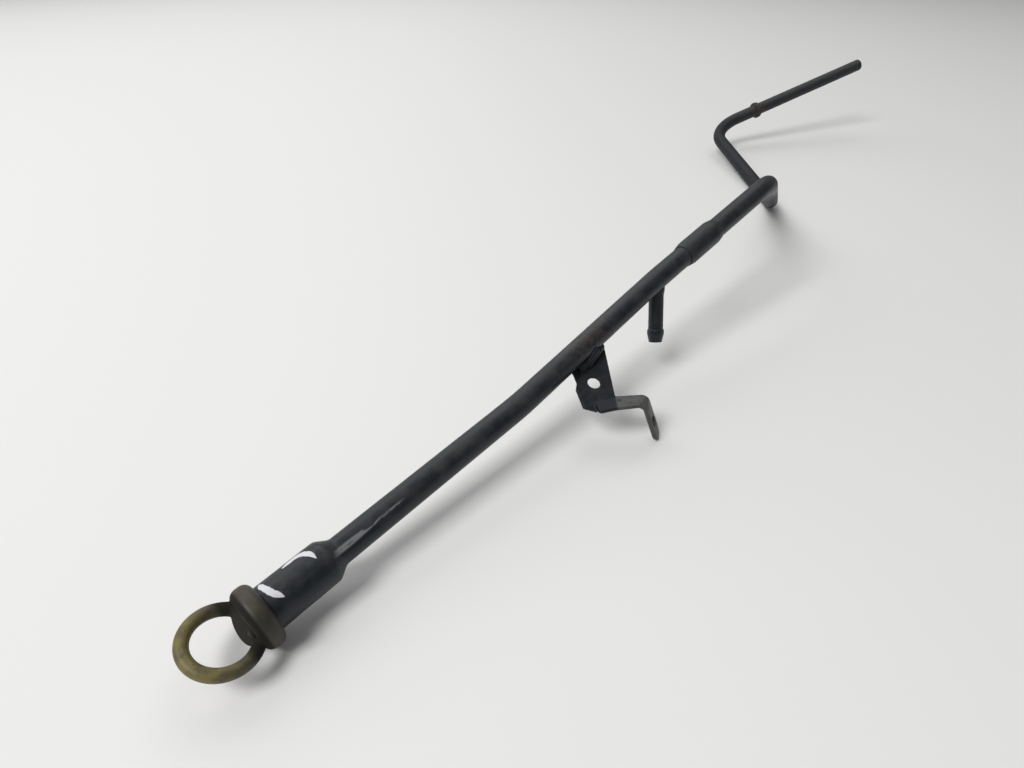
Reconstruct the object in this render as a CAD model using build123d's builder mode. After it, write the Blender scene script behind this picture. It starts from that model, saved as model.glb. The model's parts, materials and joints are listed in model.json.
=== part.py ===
from build123d import *
import os
from math import cos, radians, sin, sqrt, tan

# Engine oil dipstick seated in its bent guide tube, lying on a flat surface.
# Millimetres, +Z up, origin on that surface under the middle of the part.

os.makedirs("parts", exist_ok=True)

# Guide tube
TUBE_OD = 12.0
TUBE_WALL = 1.0
CUP_OD = 18.4
CUP_WALL = 1.0
CUP_LENGTH = 26.0
NECK_LENGTH = 5.0
NECK_ROUNDING = 4.0
NECK_STUB = 4.0

# Pull handle
COLLAR_OD = 26.0
COLLAR_THICKNESS = 8.3
COLLAR_ROUNDING = 3.4
STEM_OD = 10.0
STEM_LAP = 3.0
DISC_OD = 14.6
DISC_THICKNESS = 2.2
DISC_GAP = 0.4
DISC_ROUNDING = 0.8
RING_MEAN_RADIUS = 12.5
RING_SECTION = 5.1
RING_TURN = -12.6
RING_TILT = 19.7
RING_HINGE = 8.0
RING_REACH = 10.2
PLUG_LENGTH = 19.0
PLUG_CLEARANCE = 0.3
PLUG_NOSE = 1.5

# Seal rings on the plug
SEAL_SECTION = 2.0
SEAL_CLEARANCE = 0.05
SEAL_SEAT = 0.02
SEAL_GROOVE_PLAY = 0.4
SEAL_INSET = 5.0
SEAL_PITCH = 6.5

# Gauge cable and the ferrule that holds it
CABLE_OD = 2.4
CABLE_SHORT = 14.0
CABLE_START = 11.0
FERRULE_OD = 4.6
FERRULE_START = 9.0
FERRULE_LENGTH = 16.0
CRIMP_CLEARANCE = 0.02
GAUGE_TIP_OD = 4.2
GAUGE_TIP_LENGTH = 45.0
GAUGE_TIP_CHAMFER = 0.8

# Route of the tube's axis from the cup's mouth to the open lower end: the length of each run between
# two corners, its heading from +X, and the height of the axis at each corner
ROUTE_MIDDLE_X = 11.75
ROUTE_MIDDLE_Y = 11.65
CUP_RUN = 136.413
CUP_HEADING = 46.884
BRACKET_RUN = 114.329
BRACKET_HEADING = 47.065
SLEEVE_RUN = 116.822
SLEEVE_HEADING = 44.663
DROP_RUN = 189.041
DROP_HEADING = 66.046
FLOOR_RUN = 41.601
FLOOR_HEADING = 89.587
LIFT_RUN = 137.995
LIFT_HEADING = 94.805
END_RUN = 204.332
END_HEADING = 24.092
MOUTH_LIFT = 0.51
NEAR_BEND_HEIGHT = 29.4
NIPPLE_BEND_HEIGHT = 53.0
TOP_BEND_HEIGHT = 78.1
FAR_BEND_HEIGHT = 20.0
LOWER_END_HEIGHT = 70.7
NEAR_BEND_RADIUS = 150.0
NIPPLE_BEND_RADIUS = 150.0
TOP_BEND_RADIUS = 30.0
FLOOR_BEND_RADIUS = 40.0
LIFT_BEND_RADIUS = 100.0
FAR_BEND_RADIUS = 50.0

# Sleeve over the joint between the two lengths of tube
SLEEVE_FROM_BEND = 25.1
SLEEVE_LENGTH = 31.5
SLEEVE_OD = 14.3
SLEEVE_LIP = 0.4
SLEEVE_TAPER = 4.0
SLEEVE_ROUNDING = 5.0
BRAZE_GAP = 0.05
TUBE_END_GAP = 0.6

# Formed bead near the lower end
BEAD_FROM_BEND = 59.7
BEAD_OD = 16.4
BEAD_LENGTH = 5.2
BEAD_ROUNDING = 1.9
END_CHAMFER = 0.4

# Hose nipple
NIPPLE_DIRECTION = Vector(0.025, -0.42, -0.91).normalized()
NIPPLE_OD = 8.2
NIPPLE_WALL = 1.3
NIPPLE_REACH = 34.9
NIPPLE_FOOT_OD = 9.2
NIPPLE_FOOT_HEIGHT = 2.6
BARB_OD = 9.3
BARB_LENGTH = 7.4
BARB_STEP = 0.8
BARB_CREST = 2.0
BARB_TIP_OD = 7.2

# Mounting bracket
SHEET = 2.0
BRACKET_FROM_BEND = 54.1
BRACKET_ROLL = 20.5
PLATE_CORNER = 1.5
PLATE_FAR_END = (7.9, 4.9)
PLATE_FAR_TUCK = (9.4, -1.5)
PLATE_NEAR_TUCK = (-16.0, -1.5)
PLATE_NEAR_END = (-18.0, 5.4)
PLATE_NOTCH = (-20.6, 9.8)
PLATE_SHOULDER = (-24.0, 12.0)
TAB_CORNER = (-29.4, 21.3)
TAB_TIP = (-22.2, 33.6)
PLATE_HOLE_DIAMETER = 6.6
PLATE_HOLE_ALONG = -14.2
PLATE_HOLE_OUT = 15.9
CREASE_MIDDLE = (-18.3, 25.9)
CREASE_LENGTH = 11.6
FOLD_OVERLAP = 0.9
LEG_HEADING = 6.5
LIP_CORNER = (-10.0, -9.9)
LEG_FRONT_CORNER = (-1.5, -8.1)
LEG_BACK_CORNER = (0.7, 1.4)
LEG_BEND_MIDDLE = (12.2, -3.1)
LEG_WIDTH = 9.3
LEG_BEND_RADIUS = 4.5
LEG_BEND_LAP = 0.5
FOOT_HEADING = -17.0
FOOT_TILT = 22.0
FOOT_HOLE_DIAMETER = 5.8
FOOT_HOLE_HEIGHT = 10.5
WELD_LENGTH = 20.0
WELD_RADIUS = 2.8
WELD_ALONG = -4.5
WELD_ANGLE = 36.0
WELD_RIDGE_RADIUS = 1.8
WELD_END_ROUNDING = 0.9
WELD_INNER_RIDGE = ((-1.4, 5.8, -7.6), (-14.6, 7.2, 0.0))
WELD_OUTER_RIDGE = ((1.5, 6.2, -5.4), (-10.7, 8.1, 0.0))

UP = Vector(0, 0, 1)


def heading_vector(heading):
    """Level unit vector at an angle from +X."""
    return Vector(cos(radians(heading)), sin(radians(heading)), 0)


def run_vector(length, heading, rise):
    """Straight run of the tube's axis that gains some height."""
    return heading_vector(heading) * sqrt(length**2 - rise**2) + UP * rise


def outline_plane(origin, axis):
    """Plane for turned outlines: local x runs along the axis, local y is the radius."""
    side = axis.cross(UP).normalized()
    return Plane(origin=origin, x_dir=axis, z_dir=side)


# Corners of the tube's axis
floor_height = TUBE_OD / 2
mouth_height = COLLAR_OD / 2 + MOUTH_LIFT
cup_run = run_vector(CUP_RUN, CUP_HEADING, NEAR_BEND_HEIGHT - mouth_height)
bracket_run = run_vector(BRACKET_RUN, BRACKET_HEADING, NIPPLE_BEND_HEIGHT - NEAR_BEND_HEIGHT)
sleeve_run = run_vector(SLEEVE_RUN, SLEEVE_HEADING, TOP_BEND_HEIGHT - NIPPLE_BEND_HEIGHT)
drop_run = run_vector(DROP_RUN, DROP_HEADING, floor_height - TOP_BEND_HEIGHT)
floor_run = run_vector(FLOOR_RUN, FLOOR_HEADING, 0)
lift_run = run_vector(LIFT_RUN, LIFT_HEADING, FAR_BEND_HEIGHT - floor_height)
end_run = run_vector(END_RUN, END_HEADING, LOWER_END_HEIGHT - FAR_BEND_HEIGHT)
whole_run = cup_run + bracket_run + sleeve_run + drop_run + floor_run + lift_run + end_run
MOUTH = Vector(ROUTE_MIDDLE_X - whole_run.X / 2, ROUTE_MIDDLE_Y - whole_run.Y / 2, mouth_height)
NEAR_BEND = MOUTH + cup_run
NIPPLE_BEND = NEAR_BEND + bracket_run
TOP_BEND = NIPPLE_BEND + sleeve_run
FLOOR_BEND = TOP_BEND + drop_run
LIFT_BEND = FLOOR_BEND + floor_run
FAR_BEND = LIFT_BEND + lift_run
LOWER_END = FAR_BEND + end_run

# Directions and radii that follow from the sizes
cup_axis = (NEAR_BEND - MOUTH).normalized()
plate_axis = (NIPPLE_BEND - NEAR_BEND).normalized()
sleeve_axis = (TOP_BEND - NIPPLE_BEND).normalized()
end_axis = (LOWER_END - FAR_BEND).normalized()
tube_radius = TUBE_OD / 2
tube_bore = tube_radius - TUBE_WALL
cup_bore = CUP_OD / 2 - CUP_WALL
neck_end = CUP_LENGTH + NECK_LENGTH
tube_start = MOUTH + cup_axis * (neck_end + NECK_STUB)
sleeve_start = NIPPLE_BEND + sleeve_axis * SLEEVE_FROM_BEND
sleeve_middle = sleeve_start + sleeve_axis * (SLEEVE_LENGTH / 2)
upper_end = sleeve_middle - sleeve_axis * (TUBE_END_GAP / 2)
lower_start = sleeve_middle + sleeve_axis * (TUBE_END_GAP / 2)

# Upper tube: cup, neck and two gentle bends, with the breather hole under the nipple
with BuildPart() as upper_tube:
    with BuildLine():
        FilletPolyline(
            tube_start, NEAR_BEND, NIPPLE_BEND, upper_end, radius=[NEAR_BEND_RADIUS, NIPPLE_BEND_RADIUS]
        )
    with BuildSketch(Plane(origin=tube_start, z_dir=cup_axis)):
        Circle(tube_radius)
        Circle(tube_bore, mode=Mode.SUBTRACT)
    sweep()
    with BuildSketch(outline_plane(MOUTH, cup_axis)):
        with BuildLine():
            outer_wall = FilletPolyline(
                (0, CUP_OD / 2),
                (CUP_LENGTH, CUP_OD / 2),
                (neck_end, tube_radius),
                (neck_end + NECK_STUB, tube_radius),
                radius=NECK_ROUNDING,
            )
            inner_wall = FilletPolyline(
                (0, cup_bore),
                (CUP_LENGTH, cup_bore),
                (neck_end, tube_bore),
                (neck_end + NECK_STUB, tube_bore),
                radius=NECK_ROUNDING,
            )
            Line(outer_wall @ 0, inner_wall @ 0)
            Line(outer_wall @ 1, inner_wall @ 1)
        make_face()
    revolve(axis=Axis(MOUTH, cup_axis))
    with BuildSketch(Plane(origin=NIPPLE_BEND, z_dir=NIPPLE_DIRECTION)):
        Circle(NIPPLE_OD / 2 - NIPPLE_WALL)
    extrude(amount=TUBE_OD, mode=Mode.SUBTRACT)
upper_tube.part.label = "upper_tube"
export_step(upper_tube.part, "parts/upper_tube.step")

# Outside of the upper tube, used to shape the nipple that is brazed to it
with BuildPart() as upper_envelope:
    with BuildLine():
        FilletPolyline(
            tube_start, NEAR_BEND, NIPPLE_BEND, upper_end, radius=[NEAR_BEND_RADIUS, NIPPLE_BEND_RADIUS]
        )
    with BuildSketch(Plane(origin=tube_start, z_dir=cup_axis)):
        Circle(tube_radius)
    sweep()

# Joining sleeve with tapered ends
with BuildPart() as joining_sleeve:
    sleeve_bore = tube_radius + BRAZE_GAP
    with BuildSketch(outline_plane(sleeve_start, sleeve_axis)):
        with BuildLine():
            FilletPolyline(
                (0, sleeve_bore),
                (0, sleeve_bore + SLEEVE_LIP),
                (SLEEVE_TAPER, SLEEVE_OD / 2),
                (SLEEVE_LENGTH - SLEEVE_TAPER, SLEEVE_OD / 2),
                (SLEEVE_LENGTH, sleeve_bore + SLEEVE_LIP),
                (SLEEVE_LENGTH, sleeve_bore),
                radius=[0, 0, SLEEVE_ROUNDING, SLEEVE_ROUNDING, 0, 0],
                close=True,
            )
        make_face()
    revolve(axis=Axis(sleeve_start, sleeve_axis))
joining_sleeve.part.label = "joining_sleeve"
export_step(joining_sleeve.part, "parts/joining_sleeve.step")

# Lower tube: top bend, stretch on the floor, far bend, formed bead and open end
with BuildPart() as lower_tube:
    with BuildLine():
        FilletPolyline(
            lower_start,
            TOP_BEND,
            FLOOR_BEND,
            LIFT_BEND,
            FAR_BEND,
            LOWER_END,
            radius=[TOP_BEND_RADIUS, FLOOR_BEND_RADIUS, LIFT_BEND_RADIUS, FAR_BEND_RADIUS],
        )
    with BuildSketch(Plane(origin=lower_start, z_dir=sleeve_axis)):
        Circle(tube_radius)
        Circle(tube_bore, mode=Mode.SUBTRACT)
    sweep()
    bead_centre = FAR_BEND + end_axis * BEAD_FROM_BEND
    with BuildSketch(outline_plane(bead_centre, end_axis)):
        with BuildLine():
            FilletPolyline(
                (-BEAD_LENGTH / 2, tube_radius - TUBE_WALL / 2),
                (-BEAD_LENGTH / 2, BEAD_OD / 2),
                (BEAD_LENGTH / 2, BEAD_OD / 2),
                (BEAD_LENGTH / 2, tube_radius - TUBE_WALL / 2),
                radius=[0, BEAD_ROUNDING, BEAD_ROUNDING, 0],
                close=True,
            )
        make_face()
    revolve(axis=Axis(bead_centre, end_axis))
    end_edges = lower_tube.edges().filter_by(GeomType.CIRCLE).sort_by(Axis(LOWER_END, end_axis))
    chamfer(end_edges[-2:], END_CHAMFER)
lower_tube.part.label = "lower_tube"
export_step(lower_tube.part, "parts/lower_tube.step")

# Hose nipple: barbed end, hollow, its foot shaped to the tube
with BuildPart() as hose_nipple:
    nipple_bore = NIPPLE_OD / 2 - NIPPLE_WALL
    barb_start = NIPPLE_REACH - BARB_LENGTH
    foot_top = tube_radius + NIPPLE_FOOT_HEIGHT
    with BuildSketch(outline_plane(NIPPLE_BEND, NIPPLE_DIRECTION)):
        with BuildLine():
            FilletPolyline(
                (0, nipple_bore),
                (0, NIPPLE_FOOT_OD / 2),
                (tube_radius, NIPPLE_FOOT_OD / 2),
                (foot_top, NIPPLE_OD / 2),
                (barb_start, NIPPLE_OD / 2),
                (barb_start + BARB_STEP, BARB_OD / 2),
                (barb_start + BARB_STEP + BARB_CREST, BARB_OD / 2),
                (NIPPLE_REACH, BARB_TIP_OD / 2),
                (NIPPLE_REACH, nipple_bore),
                radius=[0, 0, 0, NIPPLE_FOOT_HEIGHT, 0, BARB_STEP / 2, BARB_CREST, 0, 0],
                close=True,
            )
        make_face()
    revolve(axis=Axis(NIPPLE_BEND, NIPPLE_DIRECTION))
    add(upper_envelope.part, mode=Mode.SUBTRACT)
hose_nipple.part.label = "hose_nipple"
export_step(hose_nipple.part, "parts/hose_nipple.step")

# Mounting bracket: plate under the tube, level leg folded from it, foot folded down to the floor
plate_side = plate_axis.cross(UP).normalized()
plate_up = plate_side.cross(plate_axis) * cos(radians(BRACKET_ROLL)) + plate_side * sin(radians(BRACKET_ROLL))
plate_centre = NEAR_BEND + plate_axis * BRACKET_FROM_BEND
saddle = Plane(origin=plate_centre, x_dir=plate_axis, z_dir=-plate_up)
plate_top = saddle.offset(tube_radius)
crease_axis = UP.cross(plate_up).normalized()
crease_fall = crease_axis.cross(plate_up)
crease_middle = plate_top.from_local_coords(Vector(*CREASE_MIDDLE, 0))
crease_start = crease_middle - crease_axis * (CREASE_LENGTH / 2)
crease_end = crease_middle + crease_axis * (CREASE_LENGTH / 2)
fold_start = plate_top.to_local_coords(crease_start + crease_fall * FOLD_OVERLAP)
fold_end = plate_top.to_local_coords(crease_end + crease_fall * FOLD_OVERLAP)
leg_top = Plane(origin=crease_end, x_dir=heading_vector(LEG_HEADING), z_dir=UP)
foot_out = heading_vector(FOOT_HEADING)
foot_side = foot_out.cross(UP)
foot_turn = tan(radians(90 - FOOT_TILT) / 2)
foot_down = foot_out * sin(radians(FOOT_TILT)) - UP * cos(radians(FOOT_TILT))
foot_normal = foot_side.cross(-foot_down)
bend_reach = LEG_BEND_RADIUS * foot_turn
bend_middle = leg_top.from_local_coords(Vector(*LEG_BEND_MIDDLE, 0))
bend_front = leg_top.to_local_coords(bend_middle + foot_side * (LEG_WIDTH / 2))
bend_back = leg_top.to_local_coords(bend_middle - foot_side * (LEG_WIDTH / 2))
lip_start = leg_top.to_local_coords(crease_start)
foot_length = (crease_end.Z - SHEET * sin(radians(FOOT_TILT))) / cos(radians(FOOT_TILT))
foot_end_x = bend_reach + foot_length * sin(radians(FOOT_TILT))
foot_end_y = -foot_length * cos(radians(FOOT_TILT))
foot_tip = bend_middle + foot_out * bend_reach + foot_down * foot_length + foot_normal * (SHEET / 2)
foot_face = Plane(origin=foot_tip, x_dir=foot_side, z_dir=foot_normal)
eye_radius = LEG_WIDTH / 2

with BuildPart() as mounting_bracket:
    weld_plane = saddle.offset(tube_radius * sin(radians(WELD_ANGLE)))
    weld_line = Vector(WELD_ALONG, tube_radius * cos(radians(WELD_ANGLE)), 0)
    weld_centre = weld_plane.from_local_coords(weld_line)
    weld_runs = [(weld_centre, plate_axis, WELD_LENGTH, WELD_RADIUS)]
    for ridge in [WELD_INNER_RIDGE, WELD_OUTER_RIDGE]:
        ridge_start = plate_top.from_local_coords(Vector(*ridge[0]))
        ridge_run = plate_top.from_local_coords(Vector(*ridge[1])) - ridge_start
        ridge_centre = ridge_start + ridge_run * 0.5
        weld_runs.append((ridge_centre, ridge_run.normalized(), ridge_run.length, WELD_RIDGE_RADIUS))
    for centre, axis, length, radius in weld_runs:
        with BuildSketch(outline_plane(centre, axis)):
            with BuildLine():
                FilletPolyline(
                    (-length / 2, 0),
                    (-length / 2, radius),
                    (length / 2, radius),
                    (length / 2, 0),
                    radius=[0, radius * WELD_END_ROUNDING, radius * WELD_END_ROUNDING, 0],
                    close=True,
                )
            make_face()
        revolve(axis=Axis(centre, axis))
    with BuildSketch(Plane(origin=plate_centre, z_dir=plate_axis)):
        Circle(tube_radius)
    extrude(amount=WELD_LENGTH, both=True, mode=Mode.SUBTRACT)
    with BuildSketch(plate_top):
        with BuildLine():
            FilletPolyline(
                PLATE_FAR_TUCK,
                PLATE_FAR_END,
                (fold_end.X, fold_end.Y),
                (fold_start.X, fold_start.Y),
                TAB_TIP,
                TAB_CORNER,
                PLATE_SHOULDER,
                PLATE_NOTCH,
                PLATE_NEAR_END,
                PLATE_NEAR_TUCK,
                radius=[PLATE_CORNER] * 2 + [0, 0] + [PLATE_CORNER] * 6,
                close=True,
            )
        make_face()
        with Locations((PLATE_HOLE_ALONG, PLATE_HOLE_OUT)):
            Circle(PLATE_HOLE_DIAMETER / 2, mode=Mode.SUBTRACT)
    extrude(amount=SHEET)
    with BuildSketch(leg_top):
        with BuildLine():
            FilletPolyline(
                (0, 0),
                LEG_BACK_CORNER,
                (bend_back.X, bend_back.Y),
                (bend_front.X, bend_front.Y),
                LEG_FRONT_CORNER,
                LIP_CORNER,
                (lip_start.X, lip_start.Y),
                radius=[0, 0, 0, 0, 0, PLATE_CORNER, 0],
                close=True,
            )
        make_face()
    extrude(amount=-SHEET)
    with BuildSketch(Plane(origin=bend_middle, x_dir=foot_out, z_dir=foot_side)):
        with BuildLine():
            FilletPolyline(
                (-LEG_BEND_LAP, 0),
                (bend_reach, 0),
                (foot_end_x, foot_end_y),
                (foot_end_x - SHEET * cos(radians(FOOT_TILT)), foot_end_y - SHEET * sin(radians(FOOT_TILT))),
                (bend_reach - SHEET * foot_turn, -SHEET),
                (-LEG_BEND_LAP, -SHEET),
                radius=[0, LEG_BEND_RADIUS, 0, 0, LEG_BEND_RADIUS - SHEET, 0],
                close=True,
            )
        make_face()
    extrude(amount=LEG_WIDTH / 2, both=True)
    with BuildSketch(foot_face):
        with Locations((0, 0)):
            Rectangle(LEG_WIDTH * 2, eye_radius * 2)
        with Locations((0, eye_radius)):
            Circle(eye_radius, mode=Mode.SUBTRACT)
    extrude(amount=SHEET, both=True, mode=Mode.SUBTRACT)
    with BuildSketch(foot_face):
        with Locations((0, FOOT_HOLE_HEIGHT)):
            Circle(FOOT_HOLE_DIAMETER / 2)
    extrude(amount=SHEET, both=True, mode=Mode.SUBTRACT)
mounting_bracket.part.label = "mounting_bracket"
export_step(mounting_bracket.part, "parts/mounting_bracket.step")

# Pull handle: finger ring, disc, collar and plug moulded in one
seal_radius = cup_bore - SEAL_CLEARANCE - SEAL_SECTION / 2
seal_places = [SEAL_INSET, SEAL_INSET + SEAL_PITCH]
plug_radius = cup_bore - PLUG_CLEARANCE
ferrule_end = FERRULE_START + FERRULE_LENGTH
cup_side = cup_axis.cross(UP).normalized()
cup_rise = cup_side.cross(cup_axis)
ring_across = cup_side * cos(radians(RING_TURN)) + cup_rise * sin(radians(RING_TURN))
ring_along = cup_axis * cos(radians(RING_TILT)) - ring_across.cross(cup_axis) * sin(radians(RING_TILT))
ring_hinge = MOUTH - cup_axis * RING_HINGE
ring_centre = ring_hinge - ring_along * RING_REACH

with BuildPart() as pull_handle:
    collar_front = -COLLAR_THICKNESS
    with BuildSketch(outline_plane(MOUTH, cup_axis)):
        with BuildLine():
            FilletPolyline(
                (collar_front, 0),
                (collar_front, COLLAR_OD / 2),
                (0, COLLAR_OD / 2),
                (0, plug_radius),
                (PLUG_LENGTH - PLUG_NOSE, plug_radius),
                (PLUG_LENGTH, plug_radius - PLUG_NOSE),
                (PLUG_LENGTH, 0),
                radius=[0, COLLAR_ROUNDING, COLLAR_ROUNDING, 0, 0, 0, 0],
                close=True,
            )
        make_face()
    revolve(axis=Axis(MOUTH, cup_axis))
    disc_front = DISC_GAP + DISC_THICKNESS
    with BuildSketch(Plane(origin=ring_hinge, x_dir=-ring_along, z_dir=ring_across)):
        with BuildLine():
            FilletPolyline(
                (-STEM_LAP, 0),
                (-STEM_LAP, STEM_OD / 2),
                (DISC_GAP, STEM_OD / 2),
                (DISC_GAP, DISC_OD / 2),
                (disc_front, DISC_OD / 2),
                (disc_front, 0),
                radius=[0, 0, 0, DISC_ROUNDING, DISC_ROUNDING, 0],
                close=True,
            )
        make_face()
    revolve(axis=Axis(ring_hinge, ring_along))
    with BuildSketch(Plane(origin=ring_centre, x_dir=ring_across, z_dir=ring_along)):
        with Locations((RING_MEAN_RADIUS, 0)):
            Circle(RING_SECTION / 2)
    revolve(axis=Axis(ring_centre, ring_across.cross(ring_along)))
    for place in seal_places:
        with BuildSketch(outline_plane(MOUTH + cup_axis * place, cup_axis)):
            groove_depth = SEAL_SECTION + SEAL_SEAT + SEAL_CLEARANCE
            with Locations((0, cup_bore - groove_depth / 2)):
                Rectangle(SEAL_SECTION + SEAL_GROOVE_PLAY, groove_depth)
        revolve(axis=Axis(MOUTH, cup_axis), mode=Mode.SUBTRACT)
    with BuildSketch(Plane(origin=MOUTH + cup_axis * FERRULE_START, z_dir=cup_axis)):
        Circle(FERRULE_OD / 2 + CRIMP_CLEARANCE)
    extrude(amount=FERRULE_LENGTH, mode=Mode.SUBTRACT)
pull_handle.part.label = "pull_handle"
export_step(pull_handle.part, "parts/pull_handle.step")

# Seal rings seated in the plug's two grooves
for name, place in zip(["outer_seal_ring", "inner_seal_ring"], seal_places):
    with BuildPart() as seal_ring:
        with BuildSketch(outline_plane(MOUTH + cup_axis * place, cup_axis)):
            with Locations((0, seal_radius)):
                Circle(SEAL_SECTION / 2)
        revolve(axis=Axis(MOUTH, cup_axis))
    seal_ring.part.label = name
    export_step(seal_ring.part, "parts/" + name + ".step")

# Ferrule crimped on the cable and moulded into the plug
with BuildPart() as cable_ferrule:
    with BuildSketch(Plane(origin=MOUTH + cup_axis * FERRULE_START, z_dir=cup_axis)):
        Circle(FERRULE_OD / 2)
        Circle(CABLE_OD / 2 + CRIMP_CLEARANCE, mode=Mode.SUBTRACT)
    extrude(amount=FERRULE_LENGTH)
cable_ferrule.part.label = "cable_ferrule"
export_step(cable_ferrule.part, "parts/cable_ferrule.step")

# Gauge cable down the middle of the tube, with its swaged gauge tip
with BuildPart() as gauge_cable:
    cable_start = MOUTH + cup_axis * CABLE_START
    cable_end = LOWER_END - end_axis * CABLE_SHORT
    with BuildLine():
        FilletPolyline(
            cable_start,
            NEAR_BEND,
            NIPPLE_BEND,
            TOP_BEND,
            FLOOR_BEND,
            LIFT_BEND,
            FAR_BEND,
            cable_end,
            radius=[
                NEAR_BEND_RADIUS,
                NIPPLE_BEND_RADIUS,
                TOP_BEND_RADIUS,
                FLOOR_BEND_RADIUS,
                LIFT_BEND_RADIUS,
                FAR_BEND_RADIUS,
            ],
        )
    with BuildSketch(Plane(origin=cable_start, z_dir=cup_axis)):
        Circle(CABLE_OD / 2)
    sweep()
    with BuildSketch(Plane(origin=cable_end, z_dir=-end_axis)):
        Circle(GAUGE_TIP_OD / 2)
    extrude(amount=GAUGE_TIP_LENGTH)
    tip_edges = gauge_cable.edges().filter_by(GeomType.CIRCLE).sort_by(Axis(LOWER_END, end_axis))
    chamfer(tip_edges[-1], GAUGE_TIP_CHAMFER)
gauge_cable.part.label = "gauge_cable"
export_step(gauge_cable.part, "parts/gauge_cable.step")
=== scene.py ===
"""Looks of an engine oil dipstick that sits in its bent guide tube, on a pale floor."""

import json
from math import cos, pi, radians, sin

import bmesh
import bpy
from bpy.props import FloatProperty, FloatVectorProperty, IntProperty, PointerProperty
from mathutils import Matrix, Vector


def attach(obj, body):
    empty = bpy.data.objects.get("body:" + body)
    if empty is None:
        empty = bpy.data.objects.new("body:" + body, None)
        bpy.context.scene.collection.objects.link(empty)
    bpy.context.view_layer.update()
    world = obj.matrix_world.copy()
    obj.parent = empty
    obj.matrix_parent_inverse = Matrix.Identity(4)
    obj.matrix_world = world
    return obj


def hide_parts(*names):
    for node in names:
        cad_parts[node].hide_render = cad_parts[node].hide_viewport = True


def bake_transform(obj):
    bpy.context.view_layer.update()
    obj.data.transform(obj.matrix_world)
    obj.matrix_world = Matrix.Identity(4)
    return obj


bl_info = {
    "name": "Oil dipstick and guide tube",
    "version": (1, 0, 0),
    "blender": (4, 5, 0),
    "location": "View3D > Sidebar > Dipstick",
    "description": "Dresses an oil dipstick and its guide tube with worn paint and aged plastic",
    "category": "Object",
}

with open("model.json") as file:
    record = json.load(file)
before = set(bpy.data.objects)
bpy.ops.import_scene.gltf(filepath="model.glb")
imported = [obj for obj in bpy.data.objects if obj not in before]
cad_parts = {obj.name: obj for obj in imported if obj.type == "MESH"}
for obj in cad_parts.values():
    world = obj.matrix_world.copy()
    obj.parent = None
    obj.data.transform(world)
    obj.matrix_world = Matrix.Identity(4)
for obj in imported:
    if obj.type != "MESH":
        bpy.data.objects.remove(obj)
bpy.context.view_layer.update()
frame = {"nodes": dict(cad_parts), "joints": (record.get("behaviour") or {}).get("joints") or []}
MM = 0.001
RIGHT = Vector((1, 0, 0))
AHEAD = Vector((0, 1, 0))
UP = Vector((0, 0, 1))

# Places on the part, in metres, as the solids have them
MOUTH = Vector((-233.45, -328.3, 13.51)) * MM
NEAR_BEND = Vector((-140.85, -229.4, 29.4)) * MM
NIPPLE_BEND = Vector((-64.65, -147.5, 53.0)) * MM
TOP_BEND = Vector((16.5, -67.3, 78.1)) * MM
FAR_BEND = Vector((76.25, 270.8, 20.0)) * MM
LOWER_END = Vector((256.95, 351.6, 70.7)) * MM
LEG_START = Vector((-93.2, -214.8, 22.4)) * MM
CUP_RADIUS = 9.2 * MM
BRACKET_FROM_BEND = 54.1 * MM
BLOOM_FROM_BRACKET = 2 * MM
BEAD_FROM_BEND = 59.7 * MM

CUP_AXIS = -Vector(frame["joints"][0]["axis"])
CUP_SIDE = CUP_AXIS.cross(UP).normalized()
CUP_RISE = CUP_SIDE.cross(CUP_AXIS)
PLATE_AXIS = (NIPPLE_BEND - NEAR_BEND).normalized()
PLATE_CENTRE = NEAR_BEND + PLATE_AXIS * BRACKET_FROM_BEND
BLOOM_CENTRE = PLATE_CENTRE - PLATE_AXIS * BLOOM_FROM_BRACKET
END_AXIS = (LOWER_END - FAR_BEND).normalized()
BEAD_CENTRE = FAR_BEND + END_AXIS * BEAD_FROM_BEND

# The cable follows the plug up to the neck, and lies still in the tube past the bend
STRANDS = 6
STRAND_LAY = 8 * MM

# Dabs: three stops each, by distance along the cup from its mouth and angle in degrees
DABS = {
    "white_dab_near": ((2.2 * MM, 122), (2.2 * MM, 84), (6.0 * MM, 50)),
    "white_dab_far": ((11.5 * MM, 116), (21.5 * MM, 134), (22.3 * MM, 73)),
}
DAB_STEPS = 48
DAB_RIBS = 8
DAB_SUNK = 0.06 * MM
DAB_RAISED = 0.01 * MM

# Finishes: lengths of streaks as multiples of their width, strengths of shine, plain colours
PAINT_STREAK = 9
SCRAPE_STREAK = 5
TURNING_STREAK = 0.2
SCRAPE_ANGLE = radians(50)
PAINT_SHINE = 0.4
PAINT_SHINE_LOST = 0.36
PLASTIC_SHINE = 0.5
PLASTIC_SHINE_LOST = 0.38
COOL_SHINE = (0.88, 0.95, 1.0)
THIN_ENAMEL = (0.42, 0.43, 0.46)
RUBBER = (0.008, 0.008, 0.008)
OILY_RUBBER = (0.03, 0.029, 0.027)
BRIGHT_STEEL = (0.5, 0.5, 0.5)
OILY_STEEL = (0.22, 0.17, 0.1)
CRIMPED_STEEL = (0.36, 0.36, 0.37)
TURNED_STEEL = (0.52, 0.52, 0.52)

# Softened solids: points nearer than this are one point, before the corners are rounded
WELD_REACH = 0.002 * MM
SMOOTHING_FACTOR = 0.5

# Lamps by their place, their sides and the property that holds their power
LAMPS = {
    "key_lamp": ((-1.6, -1.4, 2.35), (1.2, 1.2), "key_power"),
    "back_panel": ((-1.3, 1.5, 1.6), (3.0, 1.8), "back_power"),
    "ceiling_panel": ((0.25, 1.3, 2.2), (1.6, 1.6), "ceiling_power"),
}
SURROUND_COLOUR = (0.97, 0.98, 1.0, 1.0)
FLOOR_ROUGHNESS = 0.6
SENSOR_WIDTH = 36.0
NEAREST_SEEN = 10 * MM

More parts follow.
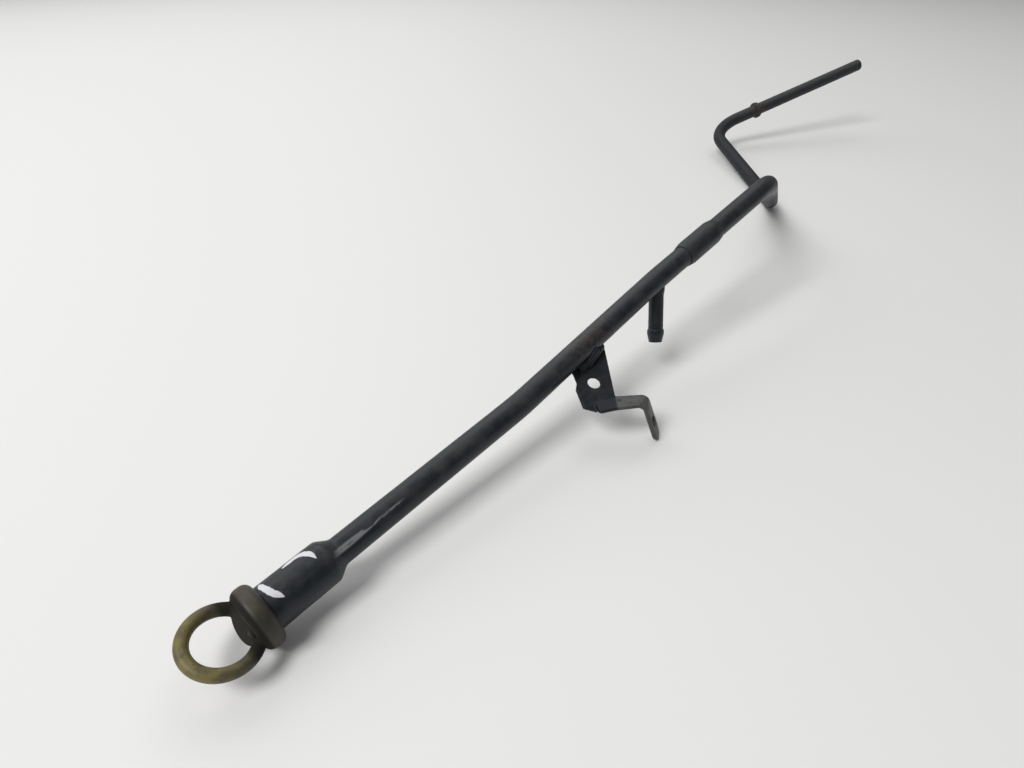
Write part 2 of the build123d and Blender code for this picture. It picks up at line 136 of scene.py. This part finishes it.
# The sockets of a Mix node that take the share and the two colours, and that gives the result
MIX_INPUTS = (0, 6, 7)
MIX_OUTPUT = 2


class DipstickPaint(bpy.types.PropertyGroup):
    """Black paint of the tube, sleeve, nipple and bracket."""

    coat: FloatVectorProperty(
        name="Coat", description="Colour of the sound paint", subtype="COLOR",
        default=(0.0065, 0.009, 0.0135),
    )
    faded: FloatVectorProperty(
        name="Faded", description="Colour of paint that has chalked", subtype="COLOR",
        default=(0.03, 0.031, 0.033),
    )
    # Also laid as painted light on the bracket's leg and foot and on the upward faces of the end
    # run
    dust: FloatVectorProperty(
        name="Dust", description="Colour of dust on upward faces", subtype="COLOR",
        default=(0.075, 0.074, 0.068),
    )
    # Also laid as a painted sheen on the upward faces of the bracket's leg and foot
    scraped_and_sheen: FloatVectorProperty(
        name="Scuffed", description="Colour of scraped paint", subtype="COLOR",
        default=(0.22, 0.22, 0.225),
    )
    rust: FloatVectorProperty(
        name="Rust", description="Colour of the rust bloom", subtype="COLOR",
        default=(0.05, 0.036, 0.026),
    )
    gloss: FloatProperty(
        name="Gloss roughness", description="Roughness of the sound paint", subtype="FACTOR",
        default=0.36,
    )


class DipstickPlastic(bpy.types.PropertyGroup):
    """Aged plastic of the pull handle."""

    clean: FloatVectorProperty(
        name="Clean", description="Colour of rubbed plastic", subtype="COLOR",
        default=(0.165, 0.135, 0.042),
    )
    aged: FloatVectorProperty(
        name="Aged", description="Colour of oil-stained plastic", subtype="COLOR",
        default=(0.04, 0.034, 0.022),
    )
    # Also the colour of the painted shade in the groove and on the faces that turn to the ring,
    # and of the darker collar below its top
    grime_and_shade: FloatVectorProperty(
        name="Grime", description="Colour of dirt in corners", subtype="COLOR",
        default=(0.014, 0.0135, 0.012),
    )
    voxel: FloatProperty(
        name="Voxel", description="Grain of the moulded mesh", unit="LENGTH", precision=5,
        default=0.36 * MM,
    )
    smoothing: IntProperty(
        name="Smoothing", description="Passes that round the moulded corners", default=9
    )


class DipstickMarks(bpy.types.PropertyGroup):
    """White brush dabs on the cup."""

    colour: FloatVectorProperty(
        name="Colour", description="Colour of the white enamel", subtype="COLOR",
        default=(0.7, 0.7, 0.73),
    )
    width: FloatProperty(
        name="Width", description="Width of a brush dab", unit="LENGTH", precision=5,
        default=2.5 * MM,
    )
    film: FloatProperty(
        name="Film", description="Thickness of the enamel", unit="LENGTH", precision=5,
        default=0.14 * MM,
    )


class DipstickBracket(bpy.types.PropertyGroup):
    """Folded sheet bracket and its weld."""

    voxel: FloatProperty(
        name="Voxel", description="Grain of the bracket mesh", unit="LENGTH", precision=5,
        default=0.34 * MM,
    )
    smoothing: IntProperty(
        name="Smoothing", description="Passes that soften the sheared edges", default=5
    )


class DipstickStage(bpy.types.PropertyGroup):
    """Floor, lamps and camera."""

    camera_place: FloatVectorProperty(
        name="Camera place", description="Where the camera stands", subtype="TRANSLATION",
        unit="LENGTH", default=(-144.65 * MM, -466.0 * MM, 218.27 * MM),
    )
    camera_pitch: FloatProperty(
        name="Camera pitch", description="How far the camera looks down", subtype="ANGLE",
        default=radians(36.73),
    )
    lens: FloatProperty(
        name="Lens", description="Focal length", unit="CAMERA", default=22.5
    )
    floor: FloatVectorProperty(
        name="Floor", description="Colour of the floor", subtype="COLOR",
        default=(0.82, 0.815, 0.8),
    )
    floor_span: FloatProperty(
        name="Floor span", description="Side of the floor", unit="LENGTH", default=12.0
    )
    surround: FloatProperty(
        name="Surround", description="Strength of the light from all round", default=0.2
    )
    key_power: FloatProperty(
        name="Key lamp", description="Power of the lamp on the left", unit="POWER", default=62.0
    )
    back_power: FloatProperty(
        name="Back panel", description="Power of the panel behind the part", unit="POWER",
        default=24.0,
    )
    ceiling_power: FloatProperty(
        name="Ceiling panel", description="Power of the panel over the part", unit="POWER",
        default=10.0,
    )


class Finish:
    """A node material whose colour is built up layer by layer."""

    def __init__(self, name, colour):
        self.material = bpy.data.materials.new(name)
        self.material.use_nodes = True
        self.tree = self.material.node_tree
        self.shader = next(n for n in self.tree.nodes if n.type == "BSDF_PRINCIPLED")
        self.place = self.tree.nodes.new("ShaderNodeTexCoord").outputs["Object"]
        self.normal = self.tree.nodes.new("ShaderNodeNewGeometry").outputs["Normal"]
        self.colour = colour

    def feed(self, socket, value):
        """Links a socket to another, or sets it to a number, a vector or a colour."""
        if isinstance(value, bpy.types.NodeSocket):
            self.tree.links.new(value, socket)
        elif socket.type == "RGBA":
            socket.default_value = (*value, 1.0)
        else:
            socket.default_value = value

    def math(self, operation, first, second=0.0):
        """One sum on one or two numbers."""
        node = self.tree.nodes.new("ShaderNodeMath")
        node.operation = operation
        self.feed(node.inputs[0], first)
        self.feed(node.inputs[1], second)
        return node.outputs["Value"]

    def plus(self, first, second):
        """Two numbers added."""
        return self.math("ADD", first, second)

    def product(self, first, *others):
        """What masks have in common, or a mask at part strength."""
        for other in others:
            first = self.math("MULTIPLY", first, other)
        return first

    def measure(self, operation, first, second):
        """Number that two vectors give, such as their distance."""
        node = self.tree.nodes.new("ShaderNodeVectorMath")
        node.operation = operation
        self.feed(node.inputs[0], first)
        self.feed(node.inputs[1], second)
        return node.outputs["Value"]

    def noise(self, size, detail, roughness, vector=None):
        """Noise whose blotches are about size metres across."""
        node = self.tree.nodes.new("ShaderNodeTexNoise")
        self.feed(node.inputs["Vector"], self.place if vector is None else vector)
        node.inputs["Scale"].default_value = 1 / size
        node.inputs["Detail"].default_value = detail
        node.inputs["Roughness"].default_value = roughness
        return node.outputs["Fac"]

    def stretched(self, direction, streak):
        """Coordinates squeezed along a direction, so that noise forms streaks that way."""
        node = self.tree.nodes.new("ShaderNodeMapping")
        node.vector_type = "TEXTURE"
        self.feed(node.inputs["Vector"], self.place)
        node.inputs["Rotation"].default_value = direction.to_track_quat("X", "Z").to_euler()
        node.inputs["Scale"].default_value = (streak, 1.0, 1.0)
        return node.outputs["Vector"]

    def band(self, value, low, high):
        """Goes smoothly from 0 at low to 1 at high."""
        node = self.tree.nodes.new("ShaderNodeMapRange")
        node.interpolation_type = "SMOOTHSTEP"
        self.feed(node.inputs["Value"], value)
        node.inputs["From Min"].default_value = low
        node.inputs["From Max"].default_value = high
        return node.outputs["Result"]

    def window(self, value, rise, fall):
        """1 between two soft ends, each given by where it is 0 and where it is 1."""
        return self.product(self.band(value, *rise), self.band(value, *fall))

    def along(self, point, direction):
        """Distance along a direction from a point, in metres."""
        offset = self.tree.nodes.new("ShaderNodeVectorMath")
        offset.operation = "SUBTRACT"
        self.feed(offset.inputs[0], self.place)
        self.feed(offset.inputs[1], point)
        return self.measure("DOT_PRODUCT", offset.outputs["Vector"], direction)

    def near(self, point, radius, soft):
        """1 inside a ball round a point, with a soft rim."""
        return self.band(self.measure("DISTANCE", self.place, point), radius + soft, radius)

    def facing(self, direction, low, high):
        """Goes from 0 to 1 as the surface turns to face a direction, by the cosine."""
        return self.band(self.measure("DOT_PRODUCT", self.normal, direction), low, high)

    def tint(self, mask, colour, share=1.0):
        """Lays a colour over the layers below, where the mask is and at part strength."""
        node = self.tree.nodes.new("ShaderNodeMix")
        node.data_type = "RGBA"
        layers = (self.product(mask, share), self.colour, colour)
        for index, value in zip(MIX_INPUTS, layers):
            self.feed(node.inputs[index], value)
        self.colour = node.outputs[MIX_OUTPUT]

    def bump(self, height, depth, strength):
        """Relief from a height between 0 and 1 that stands depth metres high."""
        node = self.tree.nodes.new("ShaderNodeBump")
        node.inputs["Strength"].default_value = strength
        node.inputs["Distance"].default_value = depth
        self.feed(node.inputs["Height"], height)
        self.feed(self.shader.inputs["Normal"], node.outputs["Normal"])

    def complete(self, **sockets):
        """Sets the shader's colour and the sockets named, and gives the material."""
        for name, value in {"Base_Color": self.colour, **sockets}.items():
            self.feed(self.shader.inputs[name.replace("_", " ")], value)
        return self.material


def base_paint(name, paint, streaks=None, film=0.12):
    """Worn satin black paint: chalked blotches, and dust and a thin film on upward faces.

    Gives the finish, so that more can be laid on it, and its masks of blotches and dust.
    """
    finish = Finish(name, paint.coat)
    lie = None if streaks is None else finish.stretched(streaks, PAINT_STREAK)
    blotch = finish.band(finish.noise(14 * MM, detail=5, roughness=0.6), 0.42, 0.68)
    streak = finish.band(finish.noise(2.2 * MM, detail=4, roughness=0.6, vector=lie), 0.5, 0.72)
    specks = finish.band(finish.noise(5 * MM, detail=6, roughness=0.65), 0.36, 0.75)
    upward = finish.facing(UP, 0.1, 0.95)
    dusty = finish.product(upward, specks)
    finish.tint(blotch, paint.faded, 0.55)
    finish.tint(dusty, paint.dust, 0.2)
    finish.tint(finish.product(streak, upward), paint.dust, 0.15)
    finish.tint(finish.facing(UP, 0.55, 0.95), paint.dust, film)
    return finish, blotch, dusty


def close_paint(finish, paint, blotch, dusty, dull=None):
    """Sets the shader of a paint whose colour is complete, with less shine where it is dull."""
    rough = finish.plus(finish.product(blotch, 0.12), finish.product(dusty, 0.18))
    shine = PAINT_SHINE
    if dull is not None:
        shine = finish.math("SUBTRACT", PAINT_SHINE, finish.product(dull, PAINT_SHINE_LOST))
    fine = finish.noise(0.9 * MM, detail=3, roughness=0.6)
    runs = finish.noise(6 * MM, detail=3, roughness=0.5)
    finish.bump(finish.plus(fine, finish.product(runs, 1.5)), depth=0.06 * MM, strength=0.55)
    return finish.complete(
        Roughness=finish.plus(rough, paint.gloss),
        Specular_IOR_Level=shine,
        Specular_Tint=COOL_SHINE,
    )


def neck_scrape(finish):
    """Mask of the ragged scrape past the cup's neck, which narrows away from it."""
    across = CUP_SIDE * sin(SCRAPE_ANGLE) - CUP_RISE * cos(SCRAPE_ANGLE)
    outward = CUP_SIDE * cos(SCRAPE_ANGLE) + CUP_RISE * sin(SCRAPE_ANGLE)
    run = finish.along(MOUTH, CUP_AXIS)
    stretch = finish.window(run, (26 * MM, 31 * MM), (64.5 * MM, 59.5 * MM))
    narrowing = finish.product(finish.band(run, 34 * MM, 54 * MM), 0.8 * MM)
    offset = finish.math("ABSOLUTE", finish.plus(finish.along(MOUTH, across), 0.2 * MM))
    width = finish.band(finish.plus(offset, narrowing), 1.7 * MM, 0.7 * MM)
    outer_half = finish.band(finish.along(MOUTH, outward), 0, 2 * MM)
    lie = finish.stretched(CUP_AXIS, SCRAPE_STREAK)
    ragged = finish.band(finish.noise(1.4 * MM, detail=5, roughness=0.7, vector=lie), 0.4, 0.53)
    return finish.product(stretch, width, outer_half, ragged)


def tube_paint(paint):
    """Paint of the upper tube: scraped streak past the neck, rust bloom round the bracket."""
    finish, blotch, dusty = base_paint("tube_paint", paint, PLATE_AXIS)
    bloom = finish.near(BLOOM_CENTRE, radius=11 * MM, soft=14 * MM)
    bloom = finish.product(bloom, finish.facing(UP, -0.1, 0.55))
    stain = finish.band(finish.noise(3.2 * MM, detail=6, roughness=0.7), 0.42, 0.6)
    pits = finish.band(finish.noise(1.0 * MM, detail=4, roughness=0.7), 0.54, 0.66)
    finish.tint(finish.product(bloom, stain), paint.rust, 0.65)
    finish.tint(finish.product(bloom, pits), paint.dust, 0.6)
    finish.tint(neck_scrape(finish), paint.scraped_and_sheen, 0.85)
    return close_paint(finish, paint, blotch, dusty)


def far_paint(paint):
    """Paint of the lower tube and sleeve: greyer away from the cup, rusty round the bead, with
    painted light on the end run's upward faces.
    """
    finish, blotch, dusty = base_paint("far_paint", paint)
    far = finish.band(finish.along(TOP_BEND, AHEAD), 0, 90 * MM)
    end_run = finish.band(finish.along(FAR_BEND, END_AXIS), 0, 40 * MM)
    floor_run = finish.math("SUBTRACT", far, end_run)
    patchy = finish.band(finish.noise(2 * MM, detail=5, roughness=0.7), 0.35, 0.6)
    bead = finish.product(finish.near(BEAD_CENTRE, radius=7 * MM, soft=6 * MM), patchy)
    finish.tint(far, paint.faded, 0.25)
    # Upward faces of the end run lighter in the dust colour: painted light from above
    finish.tint(finish.product(end_run, finish.facing(UP, 0.25, 0.9)), paint.dust, 0.4)
    finish.tint(bead, paint.rust, 0.7)
    dull = finish.product(floor_run, 0.6)
    return close_paint(finish, paint, blotch, finish.plus(dusty, far), dull)


def bracket_paint(paint):
    """Paint of the bracket: dark plate; leg and foot lighter grey, partly rubbed paint and
    partly painted light, with a painted sheen on their upward faces.
    """
    finish, blotch, dusty = base_paint("bracket_paint", paint, PLATE_AXIS, film=0.02)
    # Leg and foot lighter grey: partly rubbed paint, partly painted light beside the lip that
    # stays in the plate's shade
    past_plate = finish.band(finish.along(LEG_START, RIGHT), -0.6 * MM, 0.9 * MM)
    below_fold = finish.band(finish.along(LEG_START, UP), 1.8 * MM, 0.6 * MM)
    patchy = finish.band(finish.noise(4 * MM, detail=5, roughness=0.65), 0.2, 0.55)
    rubbed = finish.product(past_plate, below_fold, patchy)
    finish.tint(rubbed, paint.dust, 0.95)
    # Upward faces of the leg and foot lighter still: painted sheen
    finish.tint(finish.product(rubbed, finish.facing(UP, 0.6, 0.95)), paint.scraped_and_sheen, 0.2)
    dull = finish.math("MAXIMUM", finish.facing(-RIGHT, 0.45, 0.75), 0.4)
    return close_paint(finish, paint, blotch, dusty, dull)


def handle_plastic(plastic):
    """Olive plastic, rubbed clean on the finger ring; darker near the tube, from grime and from
    painted shade in the groove and on the faces that turn to the ring.
    """
    finish = Finish("handle_plastic", plastic.aged)
    run = finish.along(MOUTH, CUP_AXIS)
    patch = finish.noise(7 * MM, detail=5, roughness=0.6)
    handled = finish.plus(finish.band(run, -12 * MM, -27 * MM), 0.25)
    groove = finish.window(run, (-15.2 * MM, -11.2 * MM), (-5.7 * MM, -8.3 * MM))
    off_ring = finish.band(run, -15 * MM, -12 * MM)
    disc = finish.product(finish.facing(-CUP_AXIS, 0.15, 0.55), off_ring)
    # Groove, disc and faces that turn to the ring darker: painted shade, with some caked grime
    caked_and_shaded = finish.band(finish.noise(4 * MM, detail=4, roughness=0.6), 0.1, 0.45)
    caked_and_shaded = finish.product(finish.math("MAXIMUM", groove, disc), caked_and_shaded)
    # Collar darker below its top
    collar_side = finish.band(finish.along(MOUTH, CUP_RISE), 15 * MM, 9.5 * MM)
    collar = finish.product(finish.band(run, -8 * MM, -6 * MM), collar_side)
    specks = finish.band(finish.noise(1.1 * MM, detail=3, roughness=0.6), 0.6, 0.72)
    finish.tint(finish.product(handled, finish.band(patch, 0.3, 0.66)), plastic.clean)
    finish.tint(caked_and_shaded, plastic.grime_and_shade, 0.9)
    finish.tint(collar, plastic.grime_and_shade, 0.6)
    finish.tint(specks, plastic.grime_and_shade, 0.5)
    rough = finish.plus(finish.product(patch, 0.3), finish.product(caked_and_shaded, 0.25))
    fine = finish.noise(0.5 * MM, detail=4, roughness=0.6)
    sink = finish.noise(3 * MM, detail=3, roughness=0.5)
    finish.bump(finish.plus(fine, finish.product(sink, 1.2)), depth=0.08 * MM, strength=0.6)
    lost = finish.product(caked_and_shaded, PLASTIC_SHINE_LOST)
    return finish.complete(
        Roughness=finish.plus(rough, 0.36),
        Specular_IOR_Level=finish.math("SUBTRACT", PLASTIC_SHINE, lost),
    )


def enamel(marks):
    """White brushed enamel."""
    finish = Finish("white_enamel", marks.colour)
    thin = finish.band(finish.noise(1.3 * MM, detail=5, roughness=0.7), 0.5, 0.8)
    finish.tint(thin, THIN_ENAMEL, 0.35)
    bristles = finish.noise(0.7 * MM, detail=3, roughness=0.6)
    finish.bump(bristles, depth=0.08 * MM, strength=0.6)
    return finish.complete(Roughness=0.42)


def seal_rubber():
    """Black sealing rubber with an oil film."""
    finish = Finish("seal_ring_rubber", RUBBER)
    film = finish.noise(3 * MM, detail=4, roughness=0.6)
    finish.tint(film, OILY_RUBBER)
    return finish.complete(Roughness=finish.plus(finish.product(film, 0.4), 0.22))


def cable_steel():
    """Oiled bright steel, with the lay of the cable's strands as relief."""
    finish = Finish("cable_steel", BRIGHT_STEEL)
    stain = finish.band(finish.noise(4 * MM, detail=5, roughness=0.6), 0.45, 0.7)
    finish.tint(stain, OILY_STEEL, 0.6)
    angle = finish.math("ARCTAN2", finish.along(MOUTH, CUP_RISE), finish.along(MOUTH, CUP_SIDE))
    lay = finish.product(finish.along(MOUTH, CUP_AXIS), 2 * pi / STRAND_LAY)
    wave = finish.math("SINE", finish.product(finish.plus(angle, lay), STRANDS))
    finish.bump(finish.math("ABSOLUTE", wave), depth=0.12 * MM, strength=0.8)
    return finish.complete(
        Metallic=1.0, Roughness=finish.plus(finish.product(stain, 0.25), 0.25)
    )


def ferrule_steel():
    """Plain crimped steel."""
    finish = Finish("ferrule_steel", CRIMPED_STEEL)
    lie = finish.stretched(CUP_AXIS, TURNING_STREAK)
    finish.tint(finish.noise(0.4 * MM, detail=3, roughness=0.6, vector=lie), TURNED_STEEL)
    return finish.complete(Metallic=1.0, Roughness=0.34)


def into_scene(name, data):
    """Object in the scene for a mesh, a lamp or a camera."""
    thing = bpy.data.objects.new(name, data)
    bpy.context.scene.collection.objects.link(thing)
    return thing


def dress(node, material):
    """Gives a carried-over solid its finish."""
    solid = frame["nodes"][node]
    solid.data.materials.clear()
    solid.data.materials.append(material)


def new_piece(name, mesh, material):
    """A smooth piece in the scene, made from a mesh in the part's own frame."""
    mesh.materials.clear()
    mesh.materials.append(material)
    mesh.polygons.foreach_set("use_smooth", [True] * len(mesh.polygons))
    return into_scene(name, mesh)


def softened(node, name, voxel, smoothing):
    """Mesh of a solid with its corners rounded, as moulding or pressing leaves them."""
    rough = into_scene(name + "_rough", frame["nodes"][node].data.copy())
    weld = bmesh.new()
    weld.from_mesh(rough.data)
    bmesh.ops.remove_doubles(weld, verts=weld.verts, dist=WELD_REACH)
    weld.to_mesh(rough.data)
    weld.free()
    remesh = rough.modifiers.new("grain", "REMESH")
    remesh.mode = "VOXEL"
    remesh.voxel_size = voxel
    smooth = rough.modifiers.new("corners", "SMOOTH")
    smooth.factor = SMOOTHING_FACTOR
    smooth.iterations = smoothing
    result = rough.evaluated_get(bpy.context.evaluated_depsgraph_get())
    mesh = bpy.data.meshes.new_from_object(result)
    mesh.name = name
    bpy.data.objects.remove(rough)
    return mesh


def cup_point(run, angle, radius):
    """Point at a distance along the cup's axis and an angle about it."""
    out = CUP_SIDE * cos(angle) + CUP_RISE * sin(angle)
    return MOUTH + CUP_AXIS * run + out * radius


def dab_rows(shape, stops, width, film):
    """Rows of upper and under points of a ragged dab, through stops of run and angle."""
    first, middle, last = (Vector((run, radians(angle) * CUP_RADIUS)) for run, angle in stops)
    for step in range(DAB_STEPS + 1):
        share = step / DAB_STEPS
        spine = first * (1 - share) ** 2 + middle * 2 * share * (1 - share) + last * share**2
        heading = ((middle - first) * (1 - share) + (last - middle) * share).normalized()
        across = Vector((-heading.y, heading.x))
        # Blunt ends, and two waves along each edge that leave it ragged
        swell = min(1.0, 5 * share + 0.25, 4 * (1 - share) + 0.2)
        left = swell * (1 + 0.09 * sin(11 * share + 1) + 0.05 * sin(37 * share))
        right = swell * (1 + 0.1 * sin(13 * share + 2) + 0.05 * sin(43 * share + 1))
        row = []
        for rib in range(DAB_RIBS + 1):
            side = 2 * rib / DAB_RIBS - 1
            spot = spine + across * (side * (left if side < 0 else right) * width / 2)
            height = film * (1 - side**4) * (0.75 + 0.25 * sin(9 * side + 4 * share))
            angle = spot.y / CUP_RADIUS
            upper = cup_point(spot.x, angle, CUP_RADIUS + height + DAB_RAISED)
            under = cup_point(spot.x, angle, CUP_RADIUS - DAB_SUNK)
            row.append((shape.verts.new(upper), shape.verts.new(under)))
        yield row


def brush_dab(stops, width, film):
    """Mesh of a brush dab on the cup, closed on all sides."""
    shape = bmesh.new()
    rows = list(dab_rows(shape, stops, width, film))
    for row, following in zip(rows, rows[1:]):
        for here, beside, beyond, ahead in zip(row, row[1:], following[1:], following):
            shape.faces.new((here[0], beside[0], beyond[0], ahead[0]))
            shape.faces.new((here[1], ahead[1], beyond[1], beside[1]))
        shape.faces.new((row[0][0], following[0][0], following[0][1], row[0][1]))
        shape.faces.new((row[-1][0], row[-1][1], following[-1][1], following[-1][0]))
    for row in (rows[0], rows[-1]):
        for here, beside in zip(row, row[1:]):
            shape.faces.new((here[0], here[1], beside[1], beside[0]))
    bmesh.ops.recalc_face_normals(shape, faces=shape.faces)
    mesh = bpy.data.meshes.new("brush_dab")
    shape.to_mesh(mesh)
    shape.free()
    return mesh


class DIPSTICK_OT_tube(bpy.types.Operator):
    """Paint the tube, the sleeve and the hose nipple"""

    bl_idname = "dipstick.tube"
    bl_label = "Guide tube"

    def execute(self, context):
        paint = context.scene.dipstick_paint
        near_coat = tube_paint(paint)
        far_coat = far_paint(paint)
        dress("upper_tube", near_coat)
        dress("hose_nipple", near_coat)
        dress("joining_sleeve", far_coat)
        dress("lower_tube", far_coat)
        return {"FINISHED"}


class DIPSTICK_OT_bracket(bpy.types.Operator):
    """Make the folded bracket with its soft sheared edges and weld ridges"""

    bl_idname = "dipstick.bracket"
    bl_label = "Bracket"

    def execute(self, context):
        sizes = context.scene.dipstick_bracket
        mesh = softened("mounting_bracket", "welded_bracket", sizes.voxel, sizes.smoothing)
        piece = new_piece("welded_bracket", mesh, bracket_paint(context.scene.dipstick_paint))
        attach(piece, "guide_tube")
        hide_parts("mounting_bracket")
        return {"FINISHED"}


class DIPSTICK_OT_handle(bpy.types.Operator):
    """Make the moulded pull handle with its finger ring"""

    bl_idname = "dipstick.handle"
    bl_label = "Pull handle"

    def execute(self, context):
        plastic = context.scene.dipstick_plastic
        mesh = softened("pull_handle", "moulded_handle", plastic.voxel, plastic.smoothing)
        piece = new_piece("moulded_handle", mesh, handle_plastic(plastic))
        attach(piece, "dipstick")
        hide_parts("pull_handle")
        return {"FINISHED"}


class DIPSTICK_OT_plug_parts(bpy.types.Operator):
    """Finish the seal rings and the ferrule on the plug"""

    bl_idname = "dipstick.plug_parts"
    bl_label = "Seals and ferrule"

    def execute(self, context):
        rubber = seal_rubber()
        for node in ("outer_seal_ring", "inner_seal_ring"):
            dress(node, rubber)
        dress("cable_ferrule", ferrule_steel())
        return {"FINISHED"}


class DIPSTICK_OT_cable(bpy.types.Operator):
    """Make the stranded gauge cable"""

    bl_idname = "dipstick.cable"
    bl_label = "Gauge cable"

    def execute(self, context):
        mesh = frame["nodes"]["gauge_cable"].data.copy()
        piece = new_piece("stranded_cable", mesh, cable_steel())
        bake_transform(piece)
        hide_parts("gauge_cable")
        return {"FINISHED"}


class DIPSTICK_OT_marks(bpy.types.Operator):
    """Brush two white dabs on the cup"""

    bl_idname = "dipstick.marks"
    bl_label = "White dabs"

    def execute(self, context):
        marks = context.scene.dipstick_marks
        white = enamel(marks)
        for name, stops in DABS.items():
            piece = new_piece(name, brush_dab(stops, marks.width, marks.film), white)
            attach(piece, "guide_tube")
        return {"FINISHED"}


class DIPSTICK_OT_stage(bpy.types.Operator):
    """Lay the floor, hang the lamps and set up the camera"""

    bl_idname = "dipstick.stage"
    bl_label = "Stage"

    def execute(self, context):
        stage = context.scene.dipstick_stage
        self.lay_floor(stage)
        for name, (place, sides, power) in LAMPS.items():
            self.hang_lamp(name, place, sides, getattr(stage, power))
        self.set_surround(context.scene, stage)
        self.set_camera(context.scene, stage)
        return {"FINISHED"}

    def lay_floor(self, stage):
        half = stage.floor_span / 2
        mesh = bpy.data.meshes.new("pale_floor")
        corners = [(-half, -half, 0), (half, -half, 0), (half, half, 0), (-half, half, 0)]
        mesh.from_pydata(corners, [], [(0, 1, 2, 3)])
        finish = Finish("pale_floor", stage.floor)
        mesh.materials.append(finish.complete(Roughness=FLOOR_ROUGHNESS))
        floor = into_scene("pale_floor", mesh)

    def hang_lamp(self, name, place, sides, power):
        lamp = bpy.data.lights.new(name, "AREA")
        lamp.shape = "RECTANGLE"
        lamp.size, lamp.size_y = sides
        lamp.energy = power
        holder = into_scene(name, lamp)
        holder.visible_camera = False
        holder.location = place
        holder.rotation_euler = (-Vector(place)).to_track_quat("-Z", "Y").to_euler()

    def set_surround(self, scene, stage):
        world = bpy.data.worlds.new("soft_surround")
        world.use_nodes = True
        backdrop = next(n for n in world.node_tree.nodes if n.type == "BACKGROUND")
        backdrop.inputs["Color"].default_value = SURROUND_COLOUR
        backdrop.inputs["Strength"].default_value = stage.surround
        scene.world = world
        scene.view_settings.view_transform = "Standard"

    def set_camera(self, scene, stage):
        view = bpy.data.cameras.new("photo_view")
        view.lens = stage.lens
        view.sensor_width = SENSOR_WIDTH
        view.clip_start = NEAREST_SEEN
        holder = into_scene("photo_view", view)
        holder.location = stage.camera_place
        holder.rotation_euler = (pi / 2 - stage.camera_pitch, 0, 0)
        scene.camera = holder


class DIPSTICK_PT_panel(bpy.types.Panel):
    """Lists the pieces of the dipstick"""

    bl_label = "Oil dipstick"
    bl_idname = "DIPSTICK_PT_panel"
    bl_space_type = "VIEW_3D"
    bl_region_type = "UI"
    bl_category = "Dipstick"

    def draw(self, context):
        for operator in OPERATORS:
            self.layout.operator(operator.bl_idname)


GROUPS = {
    "dipstick_paint": DipstickPaint,
    "dipstick_plastic": DipstickPlastic,
    "dipstick_marks": DipstickMarks,
    "dipstick_bracket": DipstickBracket,
    "dipstick_stage": DipstickStage,
}
OPERATORS = (
    DIPSTICK_OT_tube,
    DIPSTICK_OT_bracket,
    DIPSTICK_OT_handle,
    DIPSTICK_OT_plug_parts,
    DIPSTICK_OT_cable,
    DIPSTICK_OT_marks,
    DIPSTICK_OT_stage,
)


def register():
    for name, group in GROUPS.items():
        bpy.utils.register_class(group)
        setattr(bpy.types.Scene, name, PointerProperty(type=group))
    for operator in OPERATORS:
        bpy.utils.register_class(operator)
    bpy.utils.register_class(DIPSTICK_PT_panel)


def unregister():
    bpy.utils.unregister_class(DIPSTICK_PT_panel)
    for operator in reversed(OPERATORS):
        bpy.utils.unregister_class(operator)
    for name, group in GROUPS.items():
        delattr(bpy.types.Scene, name)
        bpy.utils.unregister_class(group)


def main():
    register()
    bpy.ops.dipstick.tube()
    bpy.ops.dipstick.bracket()
    bpy.ops.dipstick.handle()
    bpy.ops.dipstick.plug_parts()
    bpy.ops.dipstick.cable()
    bpy.ops.dipstick.marks()
    bpy.ops.dipstick.stage()


if __name__ == "__main__":
    main()
